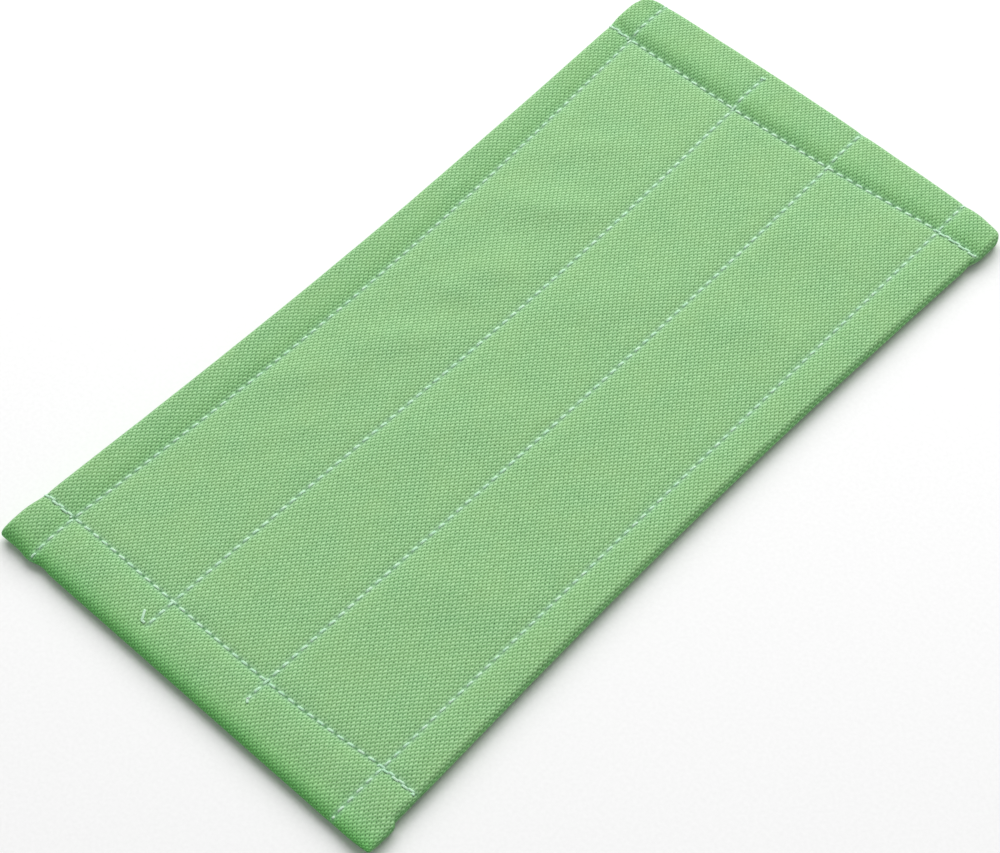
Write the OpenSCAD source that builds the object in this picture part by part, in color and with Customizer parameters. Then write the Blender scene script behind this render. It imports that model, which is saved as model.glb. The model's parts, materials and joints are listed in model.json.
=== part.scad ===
// Quilted flat mop pad: a woven face cloth turned under on all four edges, a felt core and a
// mopping cloth below, sewn through by four lengthwise rows and two cross rows of lockstitch.
// It lies on the floor, mopping side down. +Y runs along its length, +Z up through its layers.

/* [Overall size] */
// Length over both end hems
pad_length = 268; // [240:1:320]
// Width over the end hems, which stand a little proud of the side edges
end_width = 144; // [136:0.5:160]
// Width of the body between the end hems
body_width = 138; // [130:0.5:156]
// Thickness of a padded panel
pad_thickness = 6.4; // [6:0.1:7]

/* [Stitch rows] */
// Distance of each side hem row from the middle
side_row_x = 57.5; // [54:0.5:60]
// Distance of each inner quilting row from the middle
quilt_row_x = 17.75; // [14:0.25:22]
// Depth of the near end hem, from the edge to its cross row
near_hem = 18.5; // [14:0.5:20]
// Depth of the far end hem, from the edge to its cross row
far_hem = 14.5; // [11:0.5:18]
// Length of one lockstitch
stitch_pitch = 3.5; // [3:0.25:5]
// Thickness of the sewing thread
thread_d = 0.5; // [0.3:0.05:0.6]

/* [Layers] */
// Thickness of the woven face cloth
face_cloth_t = 1.0; // [0.7:0.1:1.2]
// Thickness of the mopping cloth with its pile
mop_cloth_t = 1.8; // [1.4:0.1:2]
// Thickness of the mopping cloth where a row squeezes it
mop_squeezed_t = 1.0; // [0.8:0.1:1.2]

/* [Quilting valleys] */
// Depth of the valley that a hem row pulls into the face side
valley_top = 2.0; // [1.6:0.1:2.2]
// Depth of the valley that a hem row pulls into the mopping side
valley_bottom = 1.6; // [1.2:0.1:1.8]
// Half the width of a hem row's valley
valley_half_width = 4; // [3:0.5:5]
// Half the width of the flat floor of a hem row's valley, where the thread lies
valley_floor = 0.4; // [0.35:0.05:0.6]
// Half the width of a fold line's valley
fold_half_width = 6; // [5:0.5:8]
// Distance of each fold line outside its quilting row
fold_offset = 1.5; // [1.3:0.1:2]
// Half the angle left open at a fold line
fold_half_angle = 60; // [55:1:62]
// Gap between two panels at the fold line
fold_gap = 0.15; // [0.1:0.05:0.3]

/* [Hidden] */

LEFT = -1;
CENTRE = 0;
RIGHT = 1;
FACE_SIDE = 1;
MOP_SIDE = -1;

cloth_green = [0.45, 0.72, 0.42];
pile_green = [0.36, 0.62, 0.36];
felt_white = [0.92, 0.92, 0.88];
thread_white = [0.88, 0.96, 0.92];

// Where the rows and the fold lines run
near_row_y = -pad_length / 2 + near_hem;
far_row_y = pad_length / 2 - far_hem;
fold_x = quilt_row_x + fold_offset;
fold_z = pad_thickness / 2 - 0.2;
// Heights of the two surfaces on a fold line
fold_top_z = fold_z + 0.6;
fold_bottom_z = fold_z - 0.6;
// Half the width of a fold line's valley floor
fold_floor = 0.05;
// Half the width of the strip at a fold line that the felt leaves free
felt_back = 2;
// Height of the thread where it dips between two stitches
thread_neck = 0.15;
// Share of a stitch that shows on the surface
shown_share = 0.8;
// Keeps the thread off the cloth that it lies on
clear = 0.01;
// Distances of the row ends from the pad's edge
edge_round = 2.5;
quilt_near_end = 9;
quilt_far_end = 3.5;
// Larger than the pad in every direction
beyond = 400;
$fn = 48;

// A valley cut in from height z, up or down by depth, with a flat floor of half width floor_half
module valley_2d(x, z, depth, half_width, floor_half) {
    past = 2;
    mouth = z - sign(depth) * past;
    widen = half_width + (half_width - floor_half) * past / abs(depth);
    polygon([
        [x - widen, mouth], [x + widen, mouth],
        [x + floor_half, z + depth], [x - floor_half, z + depth]
    ]);
}

// The valleys that a hem row at x pulls into both sides of a strip
module hem_valley_2d(x, z_low, z_high, rise) {
    valley_2d(x, z_high, -valley_top, valley_half_width, valley_floor);
    valley_2d(x, z_low, valley_bottom + rise - z_low, valley_half_width, valley_floor);
}

// A strip between two heights with half-round ends
module strip_2d(low, high, z_low, z_high) {
    r = (z_high - z_low) / 2;
    translate([low + r, z_low])
        square([high - low - 2 * r, 2 * r]);
    for (u = [low + r, high - r])
        translate([u, z_low + r])
            circle(r);
}

// Section across the pad's width: inset 0 is the outside, 1 is the felt
module cross_section_2d(width, inset) {
    z_low = inset * mop_cloth_t;
    z_high = pad_thickness - inset * face_cloth_t;
    rise = inset * mop_squeezed_t;
    difference() {
        strip_2d(-width / 2 + inset * face_cloth_t, width / 2 - inset * face_cloth_t, z_low, z_high);
        for (side = [LEFT, RIGHT]) {
            hem_valley_2d(side * side_row_x, z_low, z_high, rise);
            valley_2d(side * fold_x, z_high, fold_top_z - pad_thickness, fold_half_width, fold_floor);
            valley_2d(side * fold_x, z_low, fold_bottom_z + rise - z_low, fold_half_width, fold_floor);
        }
    }
}

// Section along the pad's length
module long_section_2d(inset) {
    z_low = inset * mop_cloth_t;
    z_high = pad_thickness - inset * face_cloth_t;
    rise = inset * mop_squeezed_t;
    half = pad_length / 2 - inset * face_cloth_t;
    difference() {
        strip_2d(-half, half, z_low, z_high);
        for (y = [near_row_y, far_row_y])
            hem_valley_2d(y, z_low, z_high, rise);
    }
}

// Extrudes a section of x and z along the whole of Y
module along_y() {
    rotate([90, 0, 0])
        linear_extrude(height = beyond, center = true)
            children();
}

// Extrudes a section of y and z along the whole of X
module along_x() {
    rotate([90, 0, 90])
        linear_extrude(height = beyond, center = true)
            children();
}

// Everything between two values of y
module between_y(low, high) {
    translate([-beyond / 2, low, -beyond / 2])
        cube([beyond, high - low, beyond]);
}

// The quilted body with both end hems: inset 0 is the outside, 1 is the felt
module quilted_block(inset) {
    intersection() {
        union() {
            intersection() {
                along_y() cross_section_2d(body_width, inset);
                between_y(near_row_y, far_row_y);
            }
            difference() {
                along_y() cross_section_2d(end_width, inset);
                between_y(near_row_y, far_row_y);
            }
        }
        along_x() long_section_2d(inset);
    }
}

// The space of one panel, bounded by slanting planes through the fold lines
module panel_space(panel, flat_back) {
    reach = 20;
    spread = reach * tan(fold_half_angle);
    tip = fold_x + fold_gap;
    along_y()
        if (panel == CENTRE)
            intersection() {
                polygon([
                    [-fold_x, fold_z], [-fold_x + spread, fold_z + reach], [fold_x - spread, fold_z + reach],
                    [fold_x, fold_z], [fold_x - spread, fold_z - reach], [-fold_x + spread, fold_z - reach]
                ]);
                square([2 * (fold_x - flat_back), beyond], center = true);
            }
        else
            scale([panel, 1])
                difference() {
                    polygon([
                        [tip, fold_z], [tip + spread, fold_z + reach], [beyond, fold_z + reach],
                        [beyond, fold_z - reach], [tip + spread, fold_z - reach]
                    ]);
                    translate([0, -beyond / 2])
                        square([fold_x + flat_back, beyond]);
                }
}

// The mopping side inside the hem rows, where the mopping cloth lies
module mop_cloth_space() {
    translate([-side_row_x, near_row_y, -beyond])
        cube([2 * side_row_x, far_row_y - near_row_y, beyond + fold_z]);
}

// The woven face cloth of one panel, with its turned-under hems
module face_cloth(panel) {
    color(cloth_green)
        intersection() {
            difference() {
                quilted_block(0);
                felt(panel);
                mop_cloth_space();
            }
            panel_space(panel, 0);
        }
}

// The felt of one panel, as it fills the cloths
module felt(panel) {
    intersection() {
        quilted_block(1);
        panel_space(panel, felt_back);
    }
}

module felt_core(panel) {
    color(felt_white)
        felt(panel);
}

// The mopping cloth of one panel, between the hem rows
module mop_cloth(panel) {
    color(pile_green)
        intersection() {
            difference() {
                quilted_block(0);
                felt(panel);
            }
            mop_cloth_space();
            panel_space(panel, 0);
        }
}

// One thread along +X from x = 0: a ribbon with a raised length for each stitch
module thread_run(length) {
    count = floor(length / stitch_pitch);
    shown = stitch_pitch * shown_share;
    color(thread_white)
        rotate([90, 0, 0])
            linear_extrude(height = thread_d, center = true)
                union() {
                    square([count * stitch_pitch - (stitch_pitch - shown), thread_neck]);
                    for (i = [0 : count - 1])
                        translate([i * stitch_pitch, 0])
                            square([shown, thread_d]);
                }
}

// A lengthwise thread at x, from y_low to y_high, on the face or the mopping side
module length_thread(x, y_low, y_high, surface, z) {
    translate([x, y_low, z + surface * clear])
        rotate([0, 0, 90])
            scale_side(surface)
                thread_run(y_high - y_low);
}

// A lengthwise thread that lies on the slope beside a fold line
module sloped_thread(side, y_low, y_high, surface) {
    slope = 90 - fold_half_angle;
    translate([side * fold_x, 0, fold_z])
        rotate([0, side * surface * slope, 0])
            length_thread(-side * fold_offset / cos(slope), y_low, y_high, surface, 0);
}

// A cross thread in one panel, at y
module cross_thread(panel, y, y_width, surface, z) {
    inner = fold_x + fold_offset + 1;
    outer = y_width / 2 - edge_round;
    start = panel == LEFT ? -outer : panel == RIGHT ? inner : -inner + 2 * fold_offset + 2;
    length = panel == CENTRE ? -2 * start : outer - inner;
    translate([start, y, z + surface * clear])
        scale_side(surface)
            thread_run(length);
}

// Turns a thread over for the mopping side
module scale_side(surface) {
    if (surface == MOP_SIDE)
        mirror([0, 0, 1]) children();
    else
        children();
}

// Heights of the two surfaces along the hem rows
face_row_z = pad_thickness - valley_top;
mop_row_z = valley_bottom;

module row_z_thread(x, y_low, y_high, surface) {
    length_thread(x, y_low, y_high, surface, surface == FACE_SIDE ? face_row_z : mop_row_z);
}

module side_thread(side, surface) {
    row_z_thread(side * side_row_x, -pad_length / 2 + edge_round, pad_length / 2 - edge_round, surface);
}

module quilt_thread(side, surface) {
    sloped_thread(side, -pad_length / 2 + quilt_near_end, pad_length / 2 - quilt_far_end, surface);
}

module end_thread(panel, y, surface) {
    cross_thread(panel, y, body_width, surface, surface == FACE_SIDE ? face_row_z : mop_row_z);
}

face_cloth(LEFT);  // face_cloth_left
face_cloth(CENTRE);  // face_cloth_centre
face_cloth(RIGHT);  // face_cloth_right
felt_core(LEFT);  // felt_core_left
felt_core(CENTRE);  // felt_core_centre
felt_core(RIGHT);  // felt_core_right
mop_cloth(LEFT);  // mop_cloth_left
mop_cloth(CENTRE);  // mop_cloth_centre
mop_cloth(RIGHT);  // mop_cloth_right
side_thread(LEFT, FACE_SIDE);  // needle_thread_side_left
quilt_thread(LEFT, FACE_SIDE);  // needle_thread_quilt_left
quilt_thread(RIGHT, FACE_SIDE);  // needle_thread_quilt_right
side_thread(RIGHT, FACE_SIDE);  // needle_thread_side_right
side_thread(LEFT, MOP_SIDE);  // bobbin_thread_side_left
quilt_thread(LEFT, MOP_SIDE);  // bobbin_thread_quilt_left
quilt_thread(RIGHT, MOP_SIDE);  // bobbin_thread_quilt_right
side_thread(RIGHT, MOP_SIDE);  // bobbin_thread_side_right
end_thread(LEFT, near_row_y, FACE_SIDE);  // needle_thread_near_left
end_thread(CENTRE, near_row_y, FACE_SIDE);  // needle_thread_near_centre
end_thread(RIGHT, near_row_y, FACE_SIDE);  // needle_thread_near_right
end_thread(LEFT, near_row_y, MOP_SIDE);  // bobbin_thread_near_left
end_thread(CENTRE, near_row_y, MOP_SIDE);  // bobbin_thread_near_centre
end_thread(RIGHT, near_row_y, MOP_SIDE);  // bobbin_thread_near_right
end_thread(LEFT, far_row_y, FACE_SIDE);  // needle_thread_far_left
end_thread(CENTRE, far_row_y, FACE_SIDE);  // needle_thread_far_centre
end_thread(RIGHT, far_row_y, FACE_SIDE);  // needle_thread_far_right
end_thread(LEFT, far_row_y, MOP_SIDE);  // bobbin_thread_far_left
end_thread(CENTRE, far_row_y, MOP_SIDE);  // bobbin_thread_far_centre
end_thread(RIGHT, far_row_y, MOP_SIDE);  // bobbin_thread_far_right
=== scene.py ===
"""Looks of a quilted flat mop pad: woven face cloth, felt, mopping cloth and sewing thread.

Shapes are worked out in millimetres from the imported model, and turned into metres when a mesh is
made. x runs across the pad, y along it, and z up through its layers.
"""

import json
import math

import bpy
import numpy as np
from mathutils import Matrix, Vector, noise
from mathutils.bvhtree import BVHTree


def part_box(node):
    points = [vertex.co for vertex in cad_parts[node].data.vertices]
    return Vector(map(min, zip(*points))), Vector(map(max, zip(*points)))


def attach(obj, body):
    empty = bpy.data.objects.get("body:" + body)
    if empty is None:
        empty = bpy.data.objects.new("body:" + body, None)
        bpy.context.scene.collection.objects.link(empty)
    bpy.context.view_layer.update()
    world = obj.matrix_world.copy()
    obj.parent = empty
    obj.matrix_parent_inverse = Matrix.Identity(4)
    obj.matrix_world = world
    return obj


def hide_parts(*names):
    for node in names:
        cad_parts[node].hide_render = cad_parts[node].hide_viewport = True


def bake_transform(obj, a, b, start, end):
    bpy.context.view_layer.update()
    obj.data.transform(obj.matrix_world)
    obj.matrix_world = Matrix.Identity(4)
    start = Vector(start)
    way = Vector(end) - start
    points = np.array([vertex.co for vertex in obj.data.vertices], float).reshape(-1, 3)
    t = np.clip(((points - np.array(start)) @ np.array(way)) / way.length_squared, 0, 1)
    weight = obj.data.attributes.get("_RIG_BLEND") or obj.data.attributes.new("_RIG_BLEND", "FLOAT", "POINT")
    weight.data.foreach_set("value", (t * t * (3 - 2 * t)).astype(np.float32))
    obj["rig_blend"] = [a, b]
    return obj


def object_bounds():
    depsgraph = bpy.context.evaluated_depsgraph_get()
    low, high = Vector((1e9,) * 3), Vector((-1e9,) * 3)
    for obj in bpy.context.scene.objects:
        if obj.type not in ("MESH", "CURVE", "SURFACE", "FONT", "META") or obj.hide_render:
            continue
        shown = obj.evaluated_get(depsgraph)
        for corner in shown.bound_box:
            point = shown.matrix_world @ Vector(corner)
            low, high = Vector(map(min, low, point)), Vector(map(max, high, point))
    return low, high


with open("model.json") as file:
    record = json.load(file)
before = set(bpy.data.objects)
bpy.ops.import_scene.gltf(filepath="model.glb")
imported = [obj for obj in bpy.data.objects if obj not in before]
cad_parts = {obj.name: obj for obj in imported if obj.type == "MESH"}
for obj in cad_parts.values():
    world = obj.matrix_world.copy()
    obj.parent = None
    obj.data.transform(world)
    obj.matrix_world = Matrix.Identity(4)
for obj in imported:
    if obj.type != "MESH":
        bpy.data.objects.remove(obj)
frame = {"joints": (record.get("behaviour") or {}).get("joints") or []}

cad_low, cad_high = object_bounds()
MM = 0.001

# ---- Sizes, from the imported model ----


def middle(node, axis):
    """The middle of a CAD node's box along an axis, in millimetres."""
    low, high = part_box(node)
    return (low[axis] + high[axis]) / 2 / MM


SIDE_X = middle("needle_thread_side_right", 0)
QUILT_X = middle("needle_thread_quilt_right", 0)
NEAR_Y = middle("needle_thread_near_centre", 1)
FAR_Y = middle("needle_thread_far_centre", 1)
HALF_LENGTH = cad_high.y / MM
HALF_WIDTH = cad_high.x / MM
FOLD = {joint["child"]: joint["pos_m"] for joint in frame["joints"]}

STITCH = 3.5            # length of one lockstitch
QUILT_THREAD_R = 0.42   # radius of the sewing thread in the two quilting rows
SIDE_THREAD_R = 0.36    # the same in the side hem rows
CROSS_THREAD_R = 0.38   # the same in the cross rows
CLOTH_T = 0.85          # thickness of the woven face cloth
CELL = 0.8              # size of a mesh cell on the face cloth
EDGE_Z = 2.6            # height at which the edge stands out furthest
EDGE_RISE = 1.0         # how much higher that is along the right edge
ROW_Z = 4.8             # height of the face cloth under a row of stitches
PANEL_RISE = 0.6        # how far a panel stands above its rows
PANEL_FADE = 2.2        # distance over which a row's valley fades on its panel side
HEM_Z = 0.25            # height of the turned-under hem above the floor
HEM_ROW_Z = 1.3         # height of the hem where a row draws it up
TURN_IN = 3.0           # how far the turned-under hem reaches past its row
BACKING_T = 0.55        # thickness of the mopping cloth without its pile
BACKING_Z = 0.95        # height of the mopping cloth's underside, above its pile
BACKING_ROW_Z = 1.75    # the same where a row draws it up
BEND_HALF = 4.5         # half the width of the strip that bends at a fold line

# ---- Plan of the pad: rows of stitches and edges, as lines that are not quite straight ----

FROM_EDGE = 0.8         # how far inside an edge a row's last needle hole is
SIDE_ENDS_X = (-60.0, 58.0)     # x at which the left and right side rows end
QUILT_LEFT_PAST = 10.6  # how far the left quilting row runs past the near cross row
QUILT_RIGHT_PAST = 9.0  # the same for the right one
QUILT_FAR_PAST = 11.5   # how far the left one runs past the far cross row
QUILT_END_X = 17.0      # x at which the right one reaches the far edge
ARC_STEP = 15           # degrees between the mesh lines on a rounded edge
GRID_ROUNDS = 4         # rounds in which a grid settles onto both sets of lines
PAST_ARC = 1.2          # furthest that a place counts as lying from the centre of a corner, in radii


def along(y):
    """Share of the way from the near cross row to the far one."""
    return np.clip((y - NEAR_Y) / (FAR_Y - NEAR_Y), 0, 1)


def across(x):
    """Share of the way from the left side row to the right one."""
    return np.clip((x + SIDE_X) / (2 * SIDE_X), 0, 1)


def bow(share, height, skew=1.0):
    """A smooth bow of that height between share 0 and 1; skew above 1 moves its top towards 1."""
    return height * np.sin(np.pi * share**skew)


def soft_step(value, width):
    """A smooth step from 0 to 1 where the value passes 0."""
    return 0.5 + 0.5 * np.tanh(value / (2 * width))


def dent(x, at, depth, width):
    """A dip of that depth in an edge, where a row draws the hem in."""
    return depth * np.exp(-(((x - at) / width) ** 2))


def line_side_left(y):
    """Left side row, bowed in between its ends."""
    return -SIDE_X - 2.0 + bow(along(y), 5.0)


def line_quilt_left(y):
    """Left quilting row, which slants and bows to the right."""
    return -QUILT_X - 1.3 + 1.4 * along(y) + bow(along(y), 3.0, 1.4)


def line_quilt_right(y):
    """Right quilting row, which slants and bows a little to the right."""
    return QUILT_X - 0.6 + along(y) + bow(along(y), 1.7, 1.3)


def line_side_right(y):
    """Right side row, nearly straight."""
    return SIDE_X + 0.7 - 0.4 * along(y)


def line_near(x):
    """Near cross row, bowed out."""
    return NEAR_Y - bow(across(x), 1.8, 1.6)


def line_far(x):
    """Far cross row, bowed in and nearer at its left end."""
    return FAR_Y - 1.5 * (1 - across(x)) - bow(across(x), 1.8)


def edge_left(y):
    """Left edge, bowed in; both end hems stand out from it."""
    hems = 1.0 * soft_step(NEAR_Y - 4 - y, 1.5) + 0.4 * soft_step(y - FAR_Y, 1.0)
    return -HALF_WIDTH + 0.4 + 3.0 * along(y) + bow(along(y), 2.7) - hems


def edge_right(y):
    """Right edge, bowed in; both end hems stand out from it."""
    hems = 1.3 * soft_step(NEAR_Y - 9.5 - y, 0.2) + 0.9 * soft_step(y - FAR_Y + 2, 0.7)
    return HALF_WIDTH - 1.4 + along(y) - bow(along(y), 2.6) + hems - dent(y, FAR_Y - 2, 0.6, 1.6)


def edge_near(x):
    """Near edge, which slants outwards to the right, is drawn in at one place and bulges at two."""
    slant = -(HALF_LENGTH - 2.1) - 3.4 * across(x)
    drawn_in = slant + dent(x, 1.5 - SIDE_X, 0.4, 2.5)
    return drawn_in - dent(x, -SIDE_X - 3, 0.7, 3) - dent(x, HALF_WIDTH - 6, 0.3, 5)


def edge_far(x):
    """Far edge, which draws in towards its right corner."""
    return HALF_LENGTH + 2.0 - 3.1 * across(x) ** 2.2 - dent(x, HALF_WIDTH - 2, 1.3, 5)


class Row:
    """A row of stitches from low to high along an axis, 0 for x or 1 for y, on a line across it."""

    def __init__(self, thread_r, axis, line, low, high):
        self.thread_r = thread_r
        self.axis = axis
        self.line = line
        self.low = low
        self.high = high

    def offset(self, x, y):
        """How far a place lies to one side of the row's line, with its sign."""
        return x - self.line(y) if self.axis == 1 else y - self.line(x)

    def distance(self, x, y):
        """How far a place is from the row, counting that it has ends."""
        run = y if self.axis == 1 else x
        beyond = np.maximum(0, np.maximum(self.low - run, run - self.high))
        return np.hypot(self.offset(x, y), beyond)

    def place(self, run, aside):
        """x and y of places along the row, moved aside by a distance."""
        line = self.line(run) + aside
        return (line, run) if self.axis == 1 else (run, line)


def side_row(line, x):
    """A side row, from edge to edge."""
    return Row(SIDE_THREAD_R, 1, line, edge_near(x) + FROM_EDGE, edge_far(x) - FROM_EDGE)


def cross_row(line, y):
    """A cross row, from edge to edge."""
    return Row(CROSS_THREAD_R, 0, line, edge_left(y) + FROM_EDGE, edge_right(y) - FROM_EDGE)


def quilting_row(line, past, high):
    """A quilting row from a distance past the near cross row to a place at the far end."""
    return Row(QUILT_THREAD_R, 1, line, NEAR_Y - past, high)


ROWS = {
    "side_left": side_row(line_side_left, SIDE_ENDS_X[0]),
    "quilt_left": quilting_row(line_quilt_left, QUILT_LEFT_PAST, FAR_Y + QUILT_FAR_PAST),
    "quilt_right": quilting_row(line_quilt_right, QUILT_RIGHT_PAST, edge_far(QUILT_END_X) - FROM_EDGE),
    "side_right": side_row(line_side_right, SIDE_ENDS_X[1]),
    "near": cross_row(line_near, NEAR_Y),
    "far": cross_row(line_far, FAR_Y),
}
LONG_LINES = [
    edge_left, line_side_left, line_quilt_left, line_quilt_right, line_side_right, edge_right,
]
CROSS_LINES = [edge_near, line_near, line_far, edge_far]
# Widths of the strips that round over at the left and right edges, and at the near and far ones
SIDE_TURNS = (2.6, 1.4)
END_TURNS = (4.4, 2.8)
# Each corner of the outline: which x side, which y side, and its radius
CORNERS = [(-1, -1, 1.2), (1, -1, 0.7), (-1, 1, 8.6), (1, 1, 4.2)]
# For each hem: the row that it lies beyond, on which side, how far it stands above a panel,
# over what distance it rises, and how far it drops again towards its edge
HEMS = [
    ("side_left", -1, 0.75, 4.0, -0.4),
    ("side_right", 1, 0.1, 3.0, 0.6),
    ("near", -1, 0.2, 3.0, 0.5),
    ("far", 1, 1.25, 2.6, 0.1),
]
# Wrinkles where the cloth lies slack: middle, direction, half length, half width and height of each
WRINKLES = [
    (-39, 77, 41, 15, 5.5, 0.5),
    (-34, 52, 33, 15, 6, 1.0),
    (-32, 11, 20, 9, 4.5, 0.4),
    (-31, 23, 60, 14, 6.5, 0.8),
    (-33, -12, 50, 14, 6, 0.9),
    (-46, -38, 55, 20, 7, 0.7),
    (-38, -60, 50, 22, 4.5, 0.3),
    (4, 40, 60, 16, 8, 0.5),
    (-2, -28, 55, 24, 9, 0.5),
    (38, 55, 30, 16, 8, 0.4),
    (38, 96, 20, 18, 8, 0.4),
    (40, -62, 40, 22, 13, 0.6),
]


def strip_shares(width, cell, turn):
    """Shares across a strip between two lines; closer together over a turn at its start."""
    if not turn:
        cells = 2 * max(2, round(width / cell / 2))
        return np.arange(cells) / cells
    rounded = turn * (1 - np.cos(np.radians(np.arange(0, 90, ARC_STEP)))) / width
    cells = max(2, round((width - turn) / cell))
    return np.concatenate([rounded, np.linspace(turn / width, 1, cells + 1)[:-1]])


def line_stops(lines, cell, turns):
    """Between which lines, and at which share between them, each grid line runs."""
    stops = []
    last = len(lines) - 2
    for k in range(last + 1):
        width = abs(lines[k + 1](0.0) - lines[k](0.0))
        turn = turns[0] if k == 0 else turns[1] if k == last else 0
        shares = strip_shares(width, cell, turn)
        if turn and k == last:
            shares = np.append(0.0, 1 - shares[:0:-1])
        stops += [(k, share) for share in shares]
    return stops + [(last, 1.0)]


def plan_grid(long_lines, cross_lines, cell, side_turns=(0, 0), end_turns=(0, 0)):
    """x and y of a grid whose lines run between the rows and edges, and so keep to them."""
    columns = line_stops(long_lines, cell, side_turns)
    rows = line_stops(cross_lines, cell, end_turns)
    x = np.zeros((len(rows), len(columns)))
    y = np.zeros_like(x)
    for _ in range(GRID_ROUNDS):
        for i, (k, share) in enumerate(columns):
            x[:, i] = long_lines[k](y[:, i]) * (1 - share) + long_lines[k + 1](y[:, i]) * share
        for j, (k, share) in enumerate(rows):
            y[j] = cross_lines[k](x[j]) * (1 - share) + cross_lines[k + 1](x[j]) * share
    return x, y


def round_corners(x, y):
    """Draws the square corners of a plan grid in to arcs."""
    for side_x, side_y, radius in CORNERS:
        j, i = (0 if side_y < 0 else -1), (0 if side_x < 0 else -1)
        centre_x = x[j, i] - side_x * radius
        centre_y = y[j, i] - side_y * radius
        a = side_x * (x - centre_x) / radius
        b = side_y * (y - centre_y) / radius
        inside = (a > 0) & (b > 0)
        a, b = np.clip(a, 0, PAST_ARC), np.clip(b, 0, PAST_ARC)
        x = np.where(inside, centre_x + side_x * radius * a * np.sqrt(1 - b * b / 2), x)
        y = np.where(inside, centre_y + side_y * radius * b * np.sqrt(1 - a * a / 2), y)
    return x, y


# ---- Relief of each layer ----

HEM_FLATTER = 0.4       # how much flatter hems lie at the right edge than in the middle
HEM_SHOULDER = 3        # distance from its row at which a hem starts to drop towards its edge
HEM_SLOPE = 10          # distance over which it drops
PUCKER = 0.12           # height of the puckers beside a row
PUCKER_FADE = 4         # distance over which they fade
HOLE_DIP = 0.25         # how far a needle hole draws the cloth in
HOLE_R = 0.7            # radius of that dip
# Painted shade: the cloth is painted deeper green near its edges, most at the near and right edges, which
# face away from the light, and beside the hems where they rise from their rows
EDGE_SHADE_SHARES = (0.25, 0.7, 1.0, 0.25)    # how much deeper green the left, right, near and far edges look
EDGE_SHADE_FADE = 0.16  # how far that reaches inwards, for each square millimetre of the turn's width
HEM_SHADE = 0.3         # how much deeper green a hem looks beside its row, for each millimetre it rises
HEM_SHADE_FADE = 6      # distance over which that fades
HEM_DRAW = 1.5          # distance over which a row's draw on the turned-under hem fades
HEM_LIFT = 0.35         # how far the free edge of that hem stands up
HEM_WAVE = 0.06         # height of its slight waves
BACKING_DRAW = 2.2      # distance over which a row's draw on the mopping cloth fades
BACKING_WAVE = 0.08     # height of that cloth's slight waves
OVER_HEM_GAP = 0.1      # gap between the hem and the mopping cloth over it
OVER_HEM_PAST = 1.5     # how far past the hem's free edge the mopping cloth comes down
HEM_STEP = 0.4          # width of the steps at the hem's free edge


def wave_noise(x, y, size, seed):
    """Smooth noise between about -1 and 1 over arrays of places, with waves of that size."""
    flat = [noise.noise(Vector((a / size, b / size, seed))) for a, b in zip(x.ravel(), y.ravel())]
    return np.array(flat).reshape(x.shape)


def nearest_row(x, y):
    """Distance of each place from the nearest row of stitches."""
    return np.min([row.distance(x, y) for row in ROWS.values()], axis=0)


def stitch_map(x, y, axis):
    """Distance from the nearest row of stitches along that axis, and the place along it."""
    distance = np.min([row.distance(x, y) for row in ROWS.values() if row.axis == axis], axis=0)
    return np.stack([distance.ravel(), (y if axis == 1 else x).ravel()], axis=1)


def needle_holes(x, y):
    """1 at each needle hole and 0 away from them."""
    holes = np.zeros_like(x)
    for row in ROWS.values():
        run = y if row.axis == 1 else x
        beat = 0.5 + 0.5 * np.cos(2 * np.pi * run / STITCH)
        holes = np.maximum(holes, beat**3 * np.exp(-((row.distance(x, y) / HOLE_R) ** 2)))
    return holes


def at_edge(z, x, y):
    """A height brought towards the level of the outline where the cloth turns over."""
    level = EDGE_Z + EDGE_RISE * soft_step(x - HALF_WIDTH + 8, 2.5)
    return level + (z - level) * edge_turn(x, y)


def edge_turn(x, y):
    """How far a cloth has turned up beside the edge: 0 at the outline, 1 past the turn."""
    insides = (x - edge_left(y), edge_right(y) - x, y - edge_near(x), edge_far(x) - y)
    turn = np.ones_like(x)
    for inside, width in zip(insides, SIDE_TURNS + END_TURNS):
        turn = turn * np.sqrt(np.maximum(0, 1 - (1 - np.clip(inside / width, 0, 1)) ** 2))
    return turn


def face_height(x, y):
    """Height of the face cloth's upper side."""
    valleys = np.ones_like(x)
    for row in ROWS.values():
        valleys = valleys * (1 - np.exp(-((row.distance(x, y) / PANEL_FADE) ** 1.2)))
    z = ROW_Z + valleys * (PANEL_RISE + wrinkles(x, y))
    hem = np.zeros_like(x)
    for name, side, rise, fade, drop in HEMS:
        past = np.maximum(0, side * ROWS[name].offset(x, y))
        flatter = 1 - HEM_FLATTER * x / HALF_WIDTH
        hem = np.maximum(hem, rise * flatter * (1 - np.exp(-((past / fade) ** 1.3))))
        z = z - drop * np.clip((past - HEM_SHOULDER) / HEM_SLOPE, 0, 1) ** 2
    puckers = PUCKER * np.exp(-nearest_row(x, y) / PUCKER_FADE) * wave_noise(x, y, size=4.2, seed=5.3)
    z = z + hem + puckers
    z = z - HOLE_DIP * needle_holes(x, y)
    return at_edge(z, x, y)


def painted_edge_and_hem_shade(x, y):
    """Painted shade: how much deeper green the cloth is painted near an edge, and where a hem rises from its
    row.
    """
    insides = (x - edge_left(y), edge_right(y) - x, y - edge_near(x), edge_far(x) - y)
    depth = np.zeros_like(x)
    for inside, turn, share in zip(insides, SIDE_TURNS + END_TURNS, EDGE_SHADE_SHARES):
        fade = np.exp(-np.maximum(0, inside) / (EDGE_SHADE_FADE * turn**2))
        depth = np.maximum(depth, share * fade)
    for name, side, rise, _, _ in HEMS:
        past = side * ROWS[name].offset(x, y)
        fade = np.exp(-np.maximum(0, past) / HEM_SHADE_FADE)
        depth = np.maximum(depth, np.where(past > 0, HEM_SHADE * rise * fade, 0))
    return depth


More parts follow.
